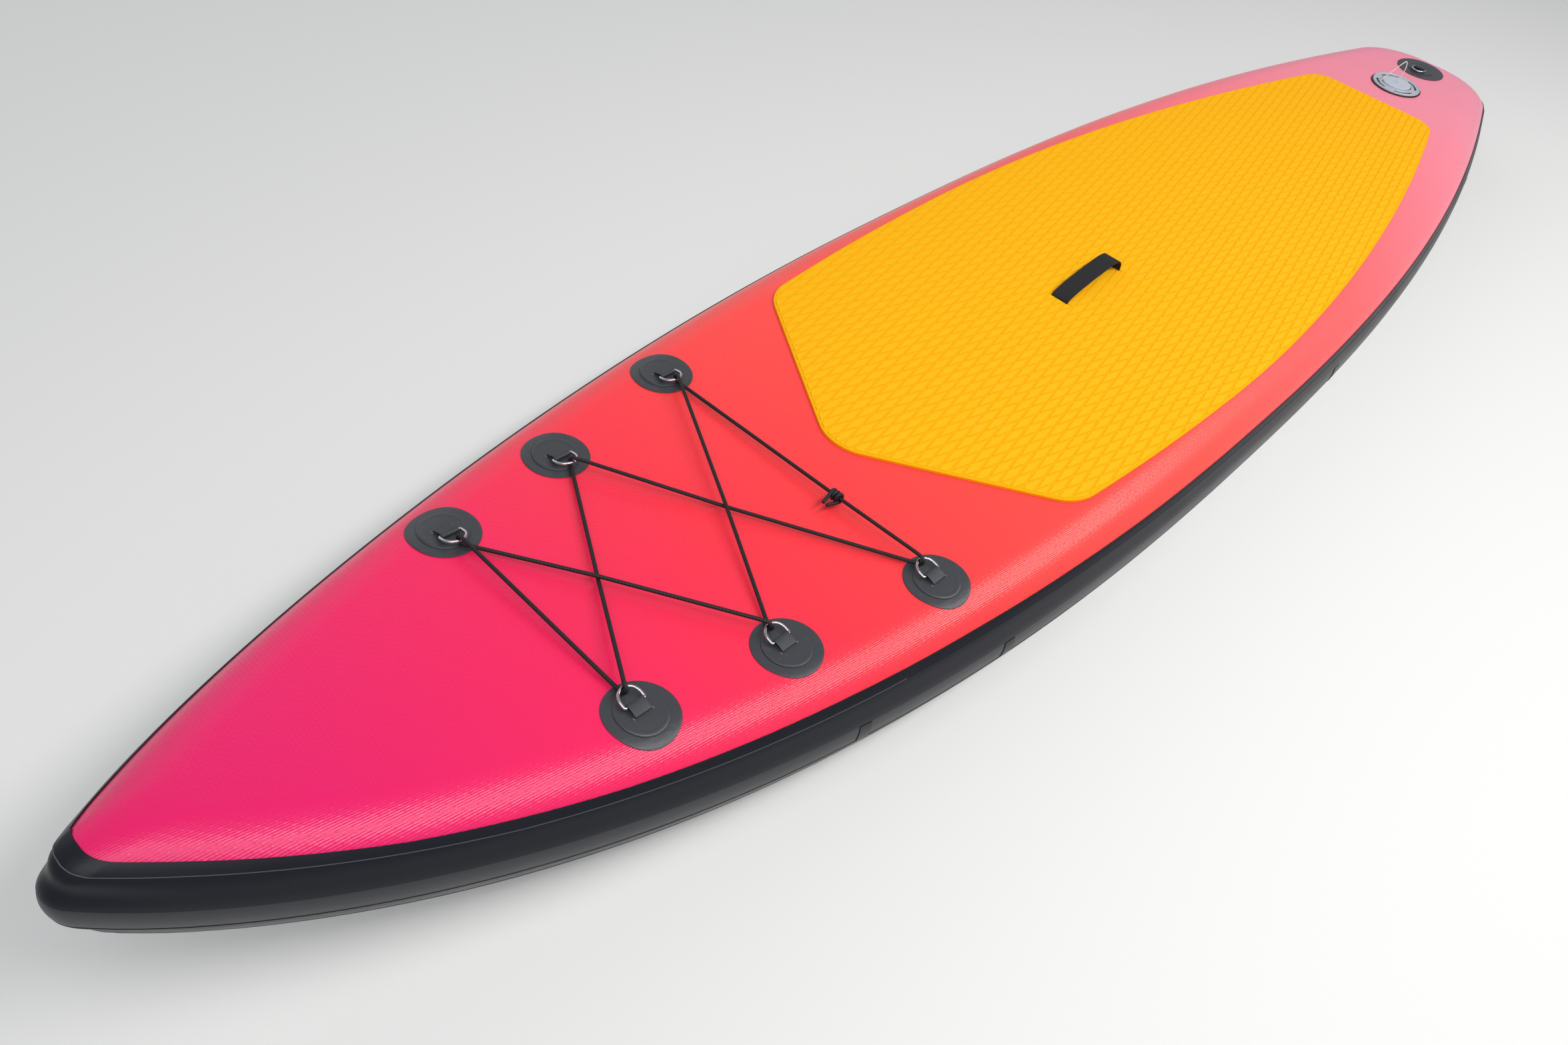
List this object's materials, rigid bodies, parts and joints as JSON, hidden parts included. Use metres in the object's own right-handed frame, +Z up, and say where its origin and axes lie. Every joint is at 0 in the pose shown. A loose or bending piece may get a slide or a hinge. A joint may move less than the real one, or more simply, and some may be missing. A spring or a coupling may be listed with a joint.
{
  "type": "inflatable stand-up paddle board",
  "caption": "Inflatable touring paddle board with pointed nose, foam deck pad, carry handle, bungee net on D-rings, leash ring, inflation valve and fin box.",
  "frame": {"origin": "middle of the length and width, at the height of the flat bottom that lies on the floor", "axes": "+X to the nose along the length, +Y to port across the width, +Z up off the deck"},
  "size_m": [3.353, 0.762, 0.2627],
  "materials": {
    "deck_vinyl": "satin woven-backed vinyl, magenta at the nose through coral to light pink at the tail",
    "bottom_vinyl": "satin vinyl",
    "drop_stitch": "woven drop-stitch base cloth",
    "rail_vinyl": "satin",
    "seam_tape": "satin",
    "deck_foam": "closed-cell foam with pressed diamonds",
    "patch_vinyl": "woven-backed vinyl",
    "webbing": "flat woven polyester",
    "ring_steel": "polished",
    "bungee_sleeve": "braided sleeve",
    "valve_plastic": "moulded",
    "cap_plastic": "moulded",
    "seal_rubber": "moulded",
    "tether_plastic": "clear soft plastic",
    "fin_box_plastic": "moulded"
  },
  "bodies": {
    "root": {"bottom_skin": "bottom_vinyl", "bungee_cord": "bungee_sleeve", "bungee_knot": "bungee_sleeve", "deck_skin": "deck_vinyl", "disc_port_front": "patch_vinyl", "disc_port_middle": "patch_vinyl", "disc_port_rear": "patch_vinyl", "disc_starboard_front": "patch_vinyl", "disc_starboard_middle": "patch_vinyl", "disc_starboard_rear": "patch_vinyl", "disc_tail": "patch_vinyl", "drop_stitch_core": "drop_stitch", "fin_box": "fin_box_plastic", "fin_box_patch": "patch_vinyl", "fin_box_pin": "ring_steel", "handle_anchor_front": "webbing", "handle_anchor_rear": "webbing", "handle_strap": "webbing", "patch_port_front": "patch_vinyl", "patch_port_middle": "patch_vinyl", "patch_port_rear": "patch_vinyl", "patch_starboard_front": "patch_vinyl", "patch_starboard_middle": "patch_vinyl", "patch_starboard_rear": "patch_vinyl", "patch_tail": "patch_vinyl", "seam_tape_lower": "seam_tape", "seam_tape_upper": "seam_tape", "side_wall": "rail_vinyl", "traction_pad": "deck_foam", "valve_body": "valve_plastic", "valve_gasket": "seal_rubber", "valve_nut": "valve_plastic", "valve_spring": "ring_steel", "valve_tether": "tether_plastic", "webbing_port_front": "webbing", "webbing_port_middle": "webbing", "webbing_port_rear": "webbing", "webbing_starboard_front": "webbing", "webbing_starboard_middle": "webbing", "webbing_starboard_rear": "webbing", "webbing_tail": "webbing"},
    "ring_port_front": {"ring_port_front": "ring_steel"},
    "ring_port_middle": {"ring_port_middle": "ring_steel"},
    "ring_port_rear": {"ring_port_rear": "ring_steel"},
    "ring_starboard_front": {"ring_starboard_front": "ring_steel"},
    "ring_starboard_middle": {"ring_starboard_middle": "ring_steel"},
    "ring_starboard_rear": {"ring_starboard_rear": "ring_steel"},
    "ring_tail": {"ring_tail": "ring_steel"},
    "valve_cap": {"valve_cap": "cap_plastic", "valve_cap_seal": "seal_rubber"},
    "valve_pin": {"valve_pin": "cap_plastic", "valve_diaphragm": "seal_rubber"}
  },
  "joints": [
    {"name": "ring_port_front_swing", "type": "hinge", "parent": "root", "child": "ring_port_front", "pos_m": [1.1439, 0.1584, 0.19163], "axis": [-0.9956, 0, -0.0942], "range_deg": [-2.5, 2.5], "stiffness_Nm_per_rad": 0.05},
    {"name": "ring_port_middle_swing", "type": "hinge", "parent": "root", "child": "ring_port_middle", "pos_m": [0.94708, 0.1924, 0.17556], "axis": [-0.9979, 0, -0.0655], "range_deg": [-2.5, 2.5], "stiffness_Nm_per_rad": 0.05},
    {"name": "ring_port_rear_swing", "type": "hinge", "parent": "root", "child": "ring_port_rear", "pos_m": [0.71635, 0.2394, 0.16612], "axis": [-0.9997, 0, -0.0242], "range_deg": [-2.5, 2.5], "stiffness_Nm_per_rad": 0.05},
    {"name": "ring_starboard_front_swing", "type": "hinge", "parent": "root", "child": "ring_starboard_front", "pos_m": [1.1439, -0.1584, 0.19163], "axis": [0.9956, 0, 0.0942], "range_deg": [-2.5, 2.5], "stiffness_Nm_per_rad": 0.05},
    {"name": "ring_starboard_middle_swing", "type": "hinge", "parent": "root", "child": "ring_starboard_middle", "pos_m": [0.94708, -0.1924, 0.17556], "axis": [0.9979, 0, 0.0655], "range_deg": [-2.5, 2.5], "stiffness_Nm_per_rad": 0.05},
    {"name": "ring_starboard_rear_swing", "type": "hinge", "parent": "root", "child": "ring_starboard_rear", "pos_m": [0.71635, -0.2394, 0.16612], "axis": [0.9997, 0, 0.0242], "range_deg": [-2.5, 2.5], "stiffness_Nm_per_rad": 0.05},
    {"name": "ring_tail_swing", "type": "hinge", "parent": "root", "child": "ring_tail", "pos_m": [-1.53586, 0, 0.16555], "axis": [0, -1, 0], "range_deg": [0, 150]},
    {"name": "valve_cap_turn", "type": "hinge", "parent": "root", "child": "valve_cap", "pos_m": [-1.3925, 0, 0.15836], "axis": [0.0052, 0, 1], "range_deg": [0, 90]},
    {"name": "valve_pin_press", "type": "slide", "parent": "root", "child": "valve_pin", "axis": [-0.0052, 0, -1], "range_m": [0, 0.005], "stiffness_N_per_m": 300, "springref_m": -0.002, "deforming": ["valve_spring"]}
  ]
}
